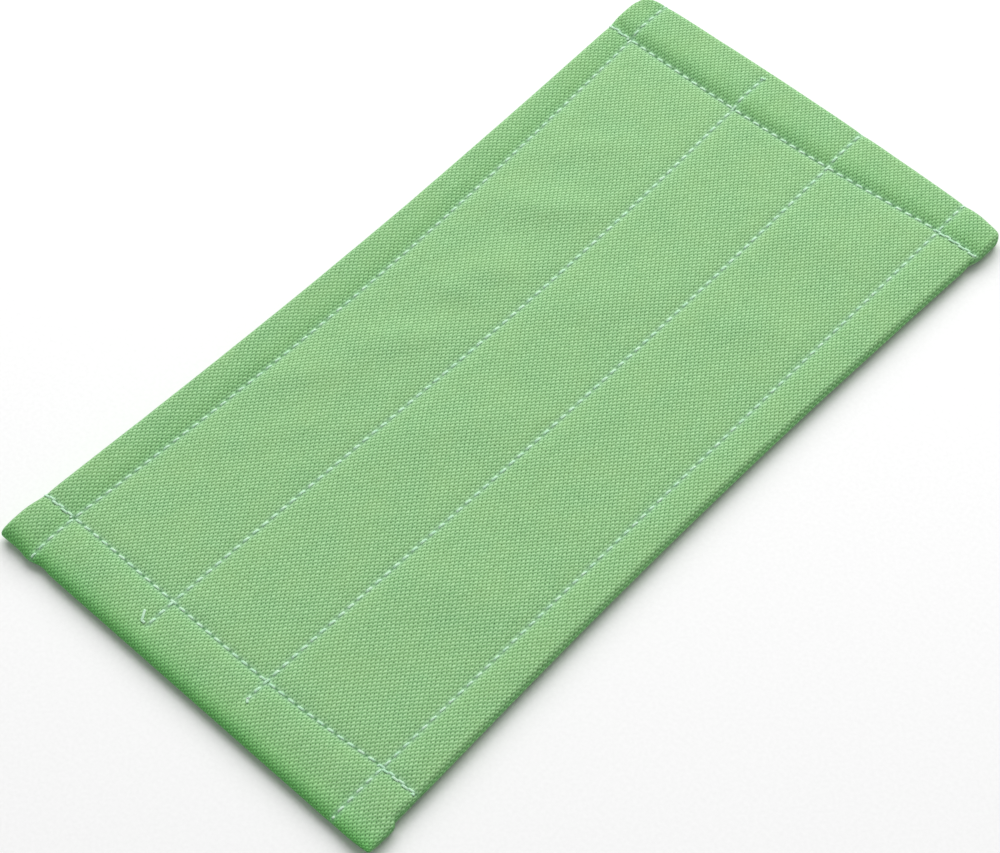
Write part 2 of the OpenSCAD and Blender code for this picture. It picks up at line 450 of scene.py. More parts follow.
def wrinkles(x, y):
    """Slack in the panels: soft slanting wrinkles and a slight billow."""
    ripples = 0.08 * wave_noise(x, y, size=7, seed=3.1)
    billow = 0.15 * wave_noise(x, y, size=20, seed=8.7)
    bend = 2.5 * wave_noise(x, y, size=22, seed=1.9)
    height = ripples + billow
    for at_x, at_y, degrees, half_length, half_width, rise in WRINKLES:
        run, lean = math.cos(math.radians(degrees)), math.sin(math.radians(degrees))
        along_it = (x - at_x) * run + (y - at_y) * lean
        across_it = (y - at_y) * run - (x - at_x) * lean + bend
        fade = np.exp(-((along_it / half_length) ** 2) - (across_it / half_width) ** 2)
        height = height + rise * fade
    return height


def inside_hem_rows(x, y):
    """How far inside the frame of the side and cross rows a place lies, negative outside it."""
    return np.minimum.reduce([
        ROWS["side_left"].offset(x, y), -ROWS["side_right"].offset(x, y),
        ROWS["near"].offset(x, y), -ROWS["far"].offset(x, y),
    ])


def hem_height(x, y):
    """Height of the turned-under hem's lower side."""
    draw = np.exp(-nearest_row(x, y) / HEM_DRAW)
    lift = HEM_LIFT * np.clip(inside_hem_rows(x, y) / TURN_IN, 0, 1) ** 3
    waves = HEM_WAVE * wave_noise(x, y, size=9, seed=2.2)
    z = HEM_Z + HEM_WAVE + waves + (HEM_ROW_Z - HEM_Z) * draw + lift
    return at_edge(z, x, y)


def backing_height(x, y):
    """Height of the mopping cloth's lower side, which passes over the hem."""
    draw = np.exp(-nearest_row(x, y) / BACKING_DRAW)
    waves = BACKING_WAVE * wave_noise(x, y, size=11, seed=6.4)
    z = BACKING_Z + (BACKING_ROW_Z - BACKING_Z) * draw + waves
    over_hem = hem_height(x, y) + CLOTH_T + OVER_HEM_GAP
    held = 1 - soft_step(inside_hem_rows(x, y) - TURN_IN - OVER_HEM_PAST, HEM_STEP)
    return np.maximum(z, over_hem * held + z * (1 - held))


# ---- Meshes ----


def grid_faces(rows, columns):
    """Quads of a grid of vertices, facing up where x grows with the column and y with the row."""
    index = np.arange(rows * columns).reshape(rows, columns)
    corners = [index[:-1, :-1], index[:-1, 1:], index[1:, 1:], index[1:, :-1]]
    return np.stack([c.ravel() for c in corners], axis=1)


def vertex_normals(points, faces):
    """Unit normals of vertices, weighted by the size of the quads round them."""
    a, b, c, d = (points[faces[:, k]] for k in range(4))
    face_normals = np.cross(c - a, d - b)
    normals = np.zeros_like(points)
    for k in range(4):
        np.add.at(normals, faces[:, k], face_normals)
    lengths = np.linalg.norm(normals, axis=1, keepdims=True)
    return normals / np.maximum(lengths, 1e-9)


def rim_edges(faces):
    """Edges that only one quad has, in that quad's direction."""
    edges = np.concatenate([faces[:, [k, (k + 1) % 4]] for k in range(4)])
    keys = np.sort(edges, axis=1)
    _, inverse, counts = np.unique(keys, axis=0, return_inverse=True, return_counts=True)
    return edges[counts[inverse.ravel()] == 1]


def closed_faces(faces, count):
    """Quads of a closed piece: faces, the same ones count vertices on and turned over, and their rim."""
    rim = rim_edges(faces)
    walls = np.stack([rim[:, 1], rim[:, 0], rim[:, 0] + count, rim[:, 1] + count], axis=1)
    return np.concatenate([faces, faces[:, ::-1] + count, walls])


def make_mesh(name, points, faces, maps=None, attributes=None):
    """A mesh object from millimetres. maps and attributes hold UVs and values, one for each vertex."""
    mesh = bpy.data.meshes.new(name)
    mesh.from_pydata((points * MM).tolist(), [], [list(dict.fromkeys(f)) for f in faces.tolist()])
    mesh.polygons.foreach_set("use_smooth", [True] * len(mesh.polygons))
    loops = loop_vertices(mesh)
    for key, values in (maps or {}).items():
        layer = mesh.uv_layers.new(name=key)
        layer.data.foreach_set("uv", values[loops].astype(np.float32).ravel())
    for key, values in (attributes or {}).items():
        layer = mesh.attributes.new(key, "FLOAT", "POINT")
        layer.data.foreach_set("value", values.astype(np.float32))
    obj = bpy.data.objects.new(name, mesh)
    bpy.context.scene.collection.objects.link(obj)
    return obj


def loop_vertices(mesh):
    """The vertex of each face corner."""
    loops = np.zeros(len(mesh.loops), np.int32)
    mesh.loops.foreach_get("vertex_index", loops)
    return loops


class Surface:
    """One side of a cloth: vertices, quads that face away from it, and what goes with each vertex."""

    def __init__(self, points, faces, column, maps=None, attributes=None):
        self.points = points
        self.faces = faces
        self.column = column
        self.maps = maps or {}
        self.attributes = attributes or {}
        self.normals = vertex_normals(points, faces)

    def shell(self, name, mask, thickness):
        """A closed piece of the masked quads, as thick as that, with the whole surface's normals."""
        used, compact = np.unique(self.faces[mask], return_inverse=True)
        faces = compact.reshape(-1, 4)
        inner = self.points[used] - self.normals[used] * thickness
        points = np.concatenate([self.points[used], inner])
        maps = {key: np.concatenate([v[used], v[used]]) for key, v in self.maps.items()}
        attributes = {key: np.concatenate([v[used], v[used]]) for key, v in self.attributes.items()}
        piece = make_mesh(name, points, closed_faces(faces, len(used)), maps, attributes)
        normals = np.concatenate([self.normals[used], -self.normals[used]])
        normals = normals[loop_vertices(piece.data)]
        first_wall = piece.data.polygons[2 * len(faces)].loop_start
        wall_normals = [p.normal for p in piece.data.polygons[2 * len(faces):] for _ in p.vertices]
        normals[first_wall:] = np.array(wall_normals)
        piece.data.normals_split_custom_set(normals.tolist())
        return piece

    def half(self, side):
        """Which quads lie on that side of the middle column."""
        is_left = self.column[self.faces].max(axis=1) <= self.column.max() // 2
        return is_left if side == "left" else ~is_left


def bend_at_fold(piece, side):
    """Lets a piece follow the middle panel inside its fold line and the side panel outside it."""
    panel = side + "_panel"
    fold = Vector(FOLD[panel])
    reach = Vector((BEND_HALF * MM * (1 if side == "right" else -1), 0, 0))
    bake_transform(piece, "centre_panel", panel, start=fold - reach, end=fold + reach)


def finish_piece(piece, material, nodes):
    """Gives a piece its material, and hides the CAD nodes that it stands for."""
    piece.data.materials.append(material)
    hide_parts(*nodes)


# ---- Face cloth ----

WARP_PER_MM = 155 / 117     # ends of the weave per millimetre across the pad
WEFT_PER_MM = 127 / 117     # picks per millimetre along it
WARP_LEAN = 14 / 117        # how the ends lean over as they run along the pad
WEFT_LEAN = 5 / 117         # the same for the picks


def weave_map(x, y):
    """Places in the cloth counted in threads: ends one way and picks the other."""
    ends = x * WARP_PER_MM - y * WARP_LEAN
    picks = x * WEFT_LEAN + y * WEFT_PER_MM
    return np.stack([ends.ravel(), picks.ravel()], axis=1)


def rolled(value, low, high, turns, under):
    """A plan coordinate followed over the rounded edges, and back along the turned-under hem."""
    for edge, side, turn in ((low, 1, turns[0]), (high, -1, turns[1])):
        inside = side * (value - edge)
        angle = np.arccos(np.clip(1 - inside / turn, -1, 1))
        arc = np.where(inside < turn, turn * angle, turn * math.pi / 2 + inside - turn)
        place = edge + side * (turn * (1 - math.pi / 2) + np.where(under, -arc, arc))
        near_edge = (inside < turn) | (under & (inside < HALF_WIDTH / 2))
        value = np.where(near_edge, place, value)
    return value


def face_cloth_surface():
    """Outer side of the face cloth: its top, and the frame of hem that is turned under."""
    x, y = plan_grid(LONG_LINES, CROSS_LINES, CELL, SIDE_TURNS, END_TURNS)
    top_z, hem_z = face_height(x, y), hem_height(x, y)
    stitch_maps = {"long_rows": stitch_map(x, y, 1), "cross_rows": stitch_map(x, y, 0)}
    # Painted shade near the edges and beside the hems, for the top and the turned-under hem alike
    turned = np.tile(painted_edge_and_hem_shade(x, y).ravel(), 2)
    rows, columns = x.shape
    in_side = (x < line_side_left(y) + TURN_IN) | (x > line_side_right(y) - TURN_IN)
    in_end = (y < line_near(x) + TURN_IN) | (y > line_far(x) - TURN_IN)
    never = np.zeros(x.shape, bool)
    across_edges = (edge_left(y), edge_right(y), SIDE_TURNS)
    along_edges = (edge_near(x), edge_far(x), END_TURNS)
    top_map = weave_map(rolled(x, *across_edges, never), rolled(y, *along_edges, never))
    hem_map = weave_map(rolled(x, *across_edges, in_side), rolled(y, *along_edges, in_end))
    x, y = round_corners(x, y)

    quads = grid_faces(rows, columns)
    in_hem = (in_side | in_end).ravel()
    hem_quads = quads[in_hem[quads].all(axis=1)][:, ::-1]
    index = np.arange(rows * columns).reshape(rows, columns)
    on_outline = np.ones((rows, columns), bool)
    on_outline[1:-1, 1:-1] = False
    shared = np.where(on_outline, index, index + rows * columns).ravel()
    top = np.stack([x.ravel(), y.ravel(), top_z.ravel()], axis=1)
    hem = np.stack([x.ravel(), y.ravel(), hem_z.ravel()], axis=1)
    column = np.tile(np.arange(columns), 2 * rows)
    maps = {key: np.concatenate([values, values]) for key, values in stitch_maps.items()}
    maps["weave"] = np.concatenate([top_map, hem_map])
    faces = np.concatenate([quads, shared[hem_quads]])
    return Surface(np.concatenate([top, hem]), faces, column, maps, {"turned": turned})


def make_face_cloth(surface, material):
    for side in ("left", "right"):
        piece = surface.shell(f"face_cloth_{side}_half", surface.half(side), CLOTH_T)
        bend_at_fold(piece, side)
        finish_piece(piece, material, [f"face_cloth_{side}", "face_cloth_centre"])


# ---- Mopping cloth and felt ----

BACKING_CELL = 1.3      # size of a mesh cell on the mopping cloth
FELT_CELL = 1.6         # the same on the felt
UNDER_HEM = 2.0         # how far the mopping cloth reaches past the hem rows
LOOP_PITCH = (2.3, 1.95)    # distance between loops of the pile, across and along the pad
LOOP_STRAY = 0.35       # how far a loop strays from its place
LOOP_CLEAR = 1.0        # distance that loops keep from the hem and from the rows of stitches
LOOP_SPAN = 1.7         # distance between the feet of a loop
LOOP_R = 0.36           # radius of the pile yarn
LOOP_ROOT = 0.2         # how deep its feet sit in the mopping cloth
FLOOR_GAP = 0.03        # gap between the longest loops and the floor
PILE_SEED = 7           # seed of the pile's random draws
FELT_GAP = 0.12         # gap between the felt and the cloths round it
FELT_SQUEEZE = 0.5      # how much a row squeezes the felt
FELT_THINNEST = 0.12    # thickness that it keeps
LOWER_STEP_PAST = 0.5   # how far past the mopping cloth's edge the felt steps down to the hem


def backing_surface():
    """Lower side of the mopping cloth."""
    long_lines = [
        lambda y: line_side_left(y) - UNDER_HEM, line_quilt_left,
        line_quilt_right, lambda y: line_side_right(y) + UNDER_HEM,
    ]
    cross_lines = [lambda x: line_near(x) - UNDER_HEM, lambda x: line_far(x) + UNDER_HEM]
    x, y = plan_grid(long_lines, cross_lines, BACKING_CELL)
    z = backing_height(x, y)
    points = np.stack([x.ravel(), y.ravel(), z.ravel()], axis=1)
    column = np.tile(np.arange(x.shape[1]), x.shape[0])
    return Surface(points, grid_faces(*x.shape)[:, ::-1], column, {"weave": weave_map(x, y)})


def loop_places(rng):
    """Feet of the pile's loops: jittered rows that leave the hem and the rows of stitches free."""
    across_steps = np.arange(-SIDE_X - 3, SIDE_X + 3, LOOP_PITCH[0])
    along_steps = np.arange(NEAR_Y - 3, FAR_Y + 3, LOOP_PITCH[1])
    x, y = np.meshgrid(across_steps, along_steps)
    x[1::2] += LOOP_PITCH[0] / 2
    x = (x + rng.uniform(-LOOP_STRAY, LOOP_STRAY, x.shape)).ravel()
    y = (y + rng.uniform(-LOOP_STRAY, LOOP_STRAY, y.shape)).ravel()
    keep = (inside_hem_rows(x, y) > TURN_IN + LOOP_CLEAR) & (nearest_row(x, y) > LOOP_CLEAR)
    return x[keep], y[keep]


def pile_loops(x, y, rng):
    """Points and quads of short loops of yarn that hang from the mopping cloth, one at each place.

    tone is a random shade for each loop, given to all its points.
    """
    rings, sides = 6, 5
    share = np.linspace(0, 1, rings)
    turn = rng.uniform(-0.6, 0.6, x.shape) + math.pi / 2
    lean = rng.uniform(-0.35, 0.35, x.shape)
    drop = rng.uniform(0.8, 1.0, x.shape)
    run = (share[None] - 0.5) * LOOP_SPAN
    hang = np.sin(np.pi * share[None]) ** 0.7
    base = backing_height(x, y)[:, None]
    turn_cos, turn_sin = np.cos(turn)[:, None], np.sin(turn)[:, None]
    centre_x = x[:, None] + run * turn_cos - lean[:, None] * hang * turn_sin
    centre_y = y[:, None] + run * turn_sin + lean[:, None] * hang * turn_cos
    depth = LOOP_ROOT + (BACKING_Z - LOOP_R - FLOOR_GAP) * drop[:, None]
    centre_z = base + LOOP_ROOT - depth * hang
    path = np.stack([centre_x, centre_y, centre_z], axis=2)
    tangent = np.gradient(path, axis=1)
    tangent /= np.linalg.norm(tangent, axis=2, keepdims=True)
    sideways = np.stack([-np.sin(turn), np.cos(turn), np.zeros_like(turn)], axis=1)[:, None]
    sideways = np.broadcast_to(sideways, path.shape)
    upward = np.cross(tangent, sideways)
    angle = np.linspace(0, 2 * np.pi, sides, endpoint=False)
    ring = np.cos(angle)[:, None] * sideways[:, :, None] + np.sin(angle)[:, None] * upward[:, :, None]
    points = path[:, :, None] + ring * LOOP_R
    one = tube_faces(rings, sides)
    faces = (one[None] + (np.arange(len(x)) * rings * sides)[:, None, None]).reshape(-1, 4)
    tone = np.repeat(rng.uniform(0, 1, len(x)), rings * sides)
    return points.reshape(-1, 3), faces, tone


def tube_faces(rings, sides):
    """Quads of a tube with closed ends. A triangle repeats a corner."""
    index = np.arange(rings * sides).reshape(rings, sides)
    following = np.roll(index, -1, axis=1)
    walls = np.stack([index[:-1], following[:-1], following[1:], index[1:]], axis=2).reshape(-1, 4)
    first, last = index[0], index[-1]
    caps = [[first[0], first[k + 1], first[k], first[k]] for k in range(1, sides - 1)]
    caps += [[last[0], last[k], last[k + 1], last[k + 1]] for k in range(1, sides - 1)]
    return np.concatenate([walls, np.array(caps)])


def make_mop_cloth(backing, cloth_material, pile_material):
    rng = np.random.default_rng(PILE_SEED)
    x, y = loop_places(rng)
    for side in ("left", "right"):
        nodes = [f"mop_cloth_{side}", "mop_cloth_centre"]
        cloth = backing.shell(f"mop_cloth_{side}_half", backing.half(side), BACKING_T)
        bend_at_fold(cloth, side)
        finish_piece(cloth, cloth_material, nodes)
        here = x < 0 if side == "left" else x >= 0
        points, faces, tone = pile_loops(x[here], y[here], rng)
        pile = make_mesh(f"mop_pile_{side}_half", points, faces, attributes={"tone": tone})
        bend_at_fold(pile, side)
        finish_piece(pile, pile_material, nodes)


def felt_surfaces():
    """Plan grid of the felt with the heights of its upper and lower sides."""
    inset = CLOTH_T + FELT_GAP
    long_lines = [
        lambda y: edge_left(y) + inset, line_quilt_left,
        line_quilt_right, lambda y: edge_right(y) - inset,
    ]
    cross_lines = [
        lambda x: edge_near(x) + inset, line_near,
        line_far, lambda x: edge_far(x) - inset,
    ]
    x, y = plan_grid(long_lines, cross_lines, FELT_CELL)
    squeeze = FELT_SQUEEZE * np.exp(-nearest_row(x, y))
    upper = face_height(x, y) - CLOTH_T - FELT_GAP - squeeze
    over_backing = backing_height(x, y) + BACKING_T
    over_hem = hem_height(x, y) + CLOTH_T
    in_hem = soft_step(-inside_hem_rows(x, y) - UNDER_HEM - LOWER_STEP_PAST, HEM_STEP)
    lower = in_hem * over_hem + (1 - in_hem) * over_backing + FELT_GAP
    middle_z = (upper + lower) / 2
    half_t = np.maximum((upper - lower) / 2, FELT_THINNEST / 2)
    return x, y, middle_z + half_t, middle_z - half_t


def make_felt(material):
    x, y, upper, lower = felt_surfaces()
    x, y = round_corners(x, y)
    rows, columns = x.shape
    middle_column = columns // 2
    for side in ("left", "right"):
        part = slice(0, middle_column + 1) if side == "left" else slice(middle_column, columns)
        px, py, top, bottom = (v[:, part] for v in (x, y, upper, lower))
        z = np.append(top, bottom)
        points = np.stack([np.tile(px.ravel(), 2), np.tile(py.ravel(), 2), z], axis=1)
        faces = closed_faces(grid_faces(*px.shape), px.size)
        piece = make_mesh(f"felt_core_{side}_half", points, faces)
        bend_at_fold(piece, side)
        finish_piece(piece, material, [f"felt_core_{side}", "felt_core_centre"])


# ---- Sewing thread ----

RINGS = 14              # rings of the tube in one stitch
SLANT = 0.3             # how far a stitch runs across its row
DIP = 1.1               # how deep the thread goes into a needle hole
HOLE_HALF = 0.6         # how far before and after a needle hole the thread has gone under
FLATTEN = 0.45          # height of the thread against its width
SETTLE = 0.2            # height of its centre line above the cloth, in radii
ARCH = 0.1              # how far a stitch arches between its needle holes
TACK_ASIDE = 0.5        # distance between the two passes of a back-tack
TACK_RAISED = 0.15      # how far the second pass lies above the first
TACK_ENDS = (0.5, 1.5)  # how far to the left of the left and right side rows a back-tack begins or ends
FACE, FLOOR = 1, -1     # the two sides of the pad
# Loose ends of the needle threads, as places that they pass
TAILS = {
    ("needle", "quilt_left"): [
        [(-20.2, -126.2), (-21.2, -126.2), (-22.9, -123.4)],
        [(-18.4, 130.9), (-17.0, 131.4)],
    ],
    ("needle", "quilt_right"): [[(17.2, -124.3), (18.2, -125.4)]],
}


def drape(tree, x, y, side):
    """Height of the cloth above or below each place."""
    reach = 50.0
    heights = []
    for a, b in zip(x, y):
        hit = tree.ray_cast(Vector((a, b, side * reach)), Vector((0, 0, -side)))[0]
        heights.append(hit.z if hit is not None else (heights[-1] if heights else EDGE_Z))
    return np.array(heights)


def stitch_path(row, low, high, side, tree, aside=0.0, phase=0.0, raised=0.0):
    """Centre line of a thread along part of a row, over the cloth and down into each needle hole."""
    count = max(2, round((high - low) / STITCH * RINGS) + 1)
    run = np.linspace(low, high, count)
    share = (run / STITCH + phase) % 1
    x, y = row.place(run, aside + SLANT * (share - 0.5))
    dip = np.exp(-((np.minimum(share, 1 - share) * STITCH / HOLE_HALF) ** 2))
    lift = row.thread_r * SETTLE + raised + ARCH * np.sin(np.pi * share) - DIP * dip
    return np.stack([x, y, drape(tree, x, y, side) + side * lift], axis=1)


def tail_path(points, tree, side):
    """Centre line of a loose thread end that lies on the cloth."""
    points = np.array(points)
    fine = np.linspace(0, len(points) - 1, 8 * (len(points) - 1) + 1)
    x = np.interp(fine, range(len(points)), points[:, 0])
    y = np.interp(fine, range(len(points)), points[:, 1])
    return np.stack([x, y, drape(tree, x, y, side) + side * QUILT_THREAD_R * FLATTEN], axis=1)


def plied_tube(path, thread_r):
    """Points and quads of a thread of three twisted plies along a path, with closed ends."""
    sides, plies, pitch = 12, 3, 1.7
    groove, ridge = 0.8, 0.24   # radius between the plies, and how far they stand out, in radii
    tangent = np.gradient(path, axis=0)
    tangent /= np.linalg.norm(tangent, axis=1, keepdims=True)
    sideways = np.cross(tangent, (0.0, 0.0, 1.0))
    sideways /= np.linalg.norm(sideways, axis=1, keepdims=True)
    upward = FLATTEN * np.cross(sideways, tangent)
    length = np.append(0, np.cumsum(np.linalg.norm(np.diff(path, axis=0), axis=1)))
    angle = np.linspace(0, 2 * np.pi, sides, endpoint=False)
    twist = 2 * np.pi * length[:, None] / pitch
    radius = thread_r * (groove + ridge * np.abs(np.cos(plies / 2 * (angle[None] - twist))))
    round_cos, round_sin = np.cos(angle)[None, :, None], np.sin(angle)[None, :, None]
    ring = round_cos * sideways[:, None] + round_sin * upward[:, None]
    points = (path[:, None] + ring * radius[:, :, None]).reshape(-1, 3)
    return points, tube_faces(len(path), sides)


def thread_piece(name, paths, thread_r, material, nodes):
    """One piece of several lengths of thread."""
    points, faces, total = [], [], 0
    for path in paths:
        tube_points, quads = plied_tube(path, thread_r)
        points.append(tube_points)
        faces.append(quads + total)
        total += len(tube_points)
    piece = make_mesh(name, np.concatenate(points), np.concatenate(faces))
    finish_piece(piece, material, nodes)
    return piece


def make_long_rows(kind, side, tree, material):
    """The threads of the side and quilting rows. Side rows ride, and quilting rows bend."""
    for name in ("side_left", "quilt_left", "quilt_right", "side_right"):
        row = ROWS[name]
        paths = [stitch_path(row, row.low, row.high, side, tree)]
        paths += [tail_path(tail, tree, side) for tail in TAILS.get((kind, name), [])]
        nodes = [f"{kind}_thread_{name}"]
        piece = thread_piece(f"{kind}_row_{name}", paths, row.thread_r, material, nodes)
        half = name.split("_")[1]
        if name.startswith("side"):
            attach(piece, half + "_panel")
        else:
            bend_at_fold(piece, half)


def make_cross_rows(kind, side, tree, material):
    """The threads of the cross rows, in two halves, each with a back-tack at its outer end."""
    for name in ("near", "far"):
        row = ROWS[name]
        left_tack = line_side_left(row.line(-SIDE_X)) - TACK_ENDS[0]
        right_tack = line_side_right(row.line(SIDE_X)) - TACK_ENDS[1]
        spans = {
            "left": (row.low, 0.0, row.low, left_tack),
            "right": (0.0, row.high, right_tack, row.high),
        }
        for half, (low, high, tack_low, tack_high) in spans.items():
            first = stitch_path(row, low, high, side, tree)
            second = stitch_path(
                row, tack_low, tack_high, side, tree, -TACK_ASIDE, phase=0.5, raised=TACK_RAISED
            )
            nodes = [f"{kind}_thread_{name}_{half}", f"{kind}_thread_{name}_centre"]
            title = f"{kind}_row_{name}_{half}"
            piece = thread_piece(title, [first, second], row.thread_r, material, nodes)
            bend_at_fold(piece, half)


def make_threads(tree, material):
    for kind, side in (("needle", FACE), ("bobbin", FLOOR)):
        make_long_rows(kind, side, tree, material)
        make_cross_rows(kind, side, tree, material)


# ---- Materials ----


FIBRE_DEPTH = 0.0006    # how far light goes through thin fibres, in metres
MIX_FACTOR, MIX_A, MIX_B, MIX_RESULT = 0, 6, 7, 2   # the colour sockets of a Mix node


class Shader:
    """Builds a node material from short calls that take and give sockets or plain values."""

    def __init__(self, name):
        self.material = bpy.data.materials.new(name)
        self.material.use_nodes = True
        self.tree = self.material.node_tree
        self.tree.nodes.clear()

    def node(self, kind, outlet=0, **settings):
        """Adds a node. Settings name its properties, and inputs is a dict of values or sockets."""
        inputs = settings.pop("inputs", {})
        made = self.tree.nodes.new(kind)
        for key, value in settings.items():
            setattr(made, key, value)
        for key, value in inputs.items():
            if isinstance(value, bpy.types.NodeSocket):
                self.tree.links.new(value, made.inputs[key])
            else:
                made.inputs[key].default_value = value
        return made.outputs[outlet]

    def math(self, operation, a, b=0.0, c=0.0, clamp=False):
        inputs = {0: a, 1: b}
        if operation in ("MULTIPLY_ADD", "WRAP"):
            inputs[2] = c
        return self.node("ShaderNodeMath", operation=operation, use_clamp=clamp, inputs=inputs)

    def vector(self, operation, a, b, c=(0.0, 0.0, 0.0)):
        inputs = {0: a, 1: b, 2: c}
        return self.node("ShaderNodeVectorMath", operation=operation, inputs=inputs)

    def wrap(self, value):
        """A count of repeats as the place within one repeat, from -0.5 to 0.5."""
        return self.math("WRAP", value, 0.5, -0.5)

    def blob(self, a, b):
        """A soft round spot: 1 where both are 0, and near 0 beyond 2."""
        square = self.math("MULTIPLY_ADD", a, a, self.math("MULTIPLY", b, b))
        return self.math("EXPONENT", self.math("MULTIPLY", square, -1.0))

    def split(self, vector):
        """The first two parts of a vector."""
        first = self.node("ShaderNodeSeparateXYZ", outlet="X", inputs={0: vector})
        return first, first.node.outputs["Y"]

    def mix(self, factor, a, b, blend="MIX"):
        inputs = {MIX_FACTOR: factor, MIX_A: a, MIX_B: b}
        settings = {"data_type": "RGBA", "blend_type": blend, "inputs": inputs}
        return self.node("ShaderNodeMix", outlet=MIX_RESULT, **settings)

    def noise(self, vector, scale, detail=2.0, outlet="Fac"):
        inputs = {"Vector": vector, "Scale": scale, "Detail": detail}
        return self.node("ShaderNodeTexNoise", outlet=outlet, inputs=inputs)

    def remap(self, value, low, high, to_low=0.0, to_high=1.0):
        inputs = {"Value": value, "From Min": low, "From Max": high}
        inputs |= {"To Min": to_low, "To Max": to_high}
        return self.node("ShaderNodeMapRange", clamp=True, inputs=inputs)

    def tint(self, tone, pattern, share, shade, low=0.3, high=0.7, blend="MIX"):
        """Mixes up to that share of a shade into a tone, most where the pattern is high."""
        return self.mix(self.remap(pattern, low, high, 0.0, share), tone, shade, blend)

    def bump(self, height, strength, distance):
        inputs = {"Height": height, "Strength": strength, "Distance": distance}
        return self.node("ShaderNodeBump", inputs=inputs)

    def surface(self, colour, roughness, normal, sheen=0.0, specular=0.3, glow=0.0):
        """The finished material. glow is how much light passes through thin fibres."""
        inputs = {"Base Color": colour, "Roughness": roughness, "Sheen Weight": sheen}
        inputs["Specular IOR Level"] = specular
        inputs["Subsurface Weight"] = glow
        inputs["Subsurface Radius"] = (1.0, 1.0, 1.0)
        inputs["Subsurface Scale"] = FIBRE_DEPTH
        inputs["Normal"] = normal
        shader = self.node("ShaderNodeBsdfPrincipled", inputs=inputs)
        self.tree.nodes.new("ShaderNodeOutputMaterial")
        self.tree.links.new(shader, self.tree.nodes[-1].inputs["Surface"])
        return self.material


def colour(red, green, blue):
    """A colour from screen values of 0 to 255, as the linear colour that shaders take."""
    def linear(value):
        share = value / 255
        return share / 12.92 if share <= 0.04045 else ((share + 0.055) / 1.055) ** 2.4
    return (linear(red), linear(green), linear(blue), 1.0)


def checker_spots(s, ends, picks, at, size, lean=0.0):
    """Soft spots, one beside each float of the plain weave: 1 at the middle, fading to 0.

    at is the spot's place beside a float, size its half width and half length, all in threads.
    """
    beside = s.math("SUBTRACT", ends, at[0])
    beyond = s.math("SUBTRACT", picks, at[1])
    rising = s.wrap(s.math("MULTIPLY", s.math("ADD", beside, beyond), 0.5))
    falling = s.wrap(s.math("MULTIPLY", s.math("SUBTRACT", beyond, beside), 0.5))
    along_it = s.math("ADD", rising, falling)
    across_it = s.math("MULTIPLY_ADD", along_it, -lean, s.math("SUBTRACT", rising, falling))
    return s.blob(s.math("DIVIDE", across_it, size[0]), s.math("DIVIDE", along_it, size[1]))


def needle_hole_spots(s, map_name):
    """1 in each needle hole of a map of rows, and nearness to the thread that shows between them."""
    hole_half = (0.42, 0.6)     # half width and half length of a hole
    thread_reach = 0.9          # how far from the row's line the thread shows
    distance, run = s.split(s.node("ShaderNodeUVMap", uv_map=map_name))
    run = s.wrap(s.math("DIVIDE", run, STITCH))
    aside = s.math("DIVIDE", distance, hole_half[0])
    hole = s.blob(aside, s.math("DIVIDE", run, hole_half[1] / STITCH))
    return hole, s.blob(s.math("DIVIDE", distance, thread_reach), 0.0)


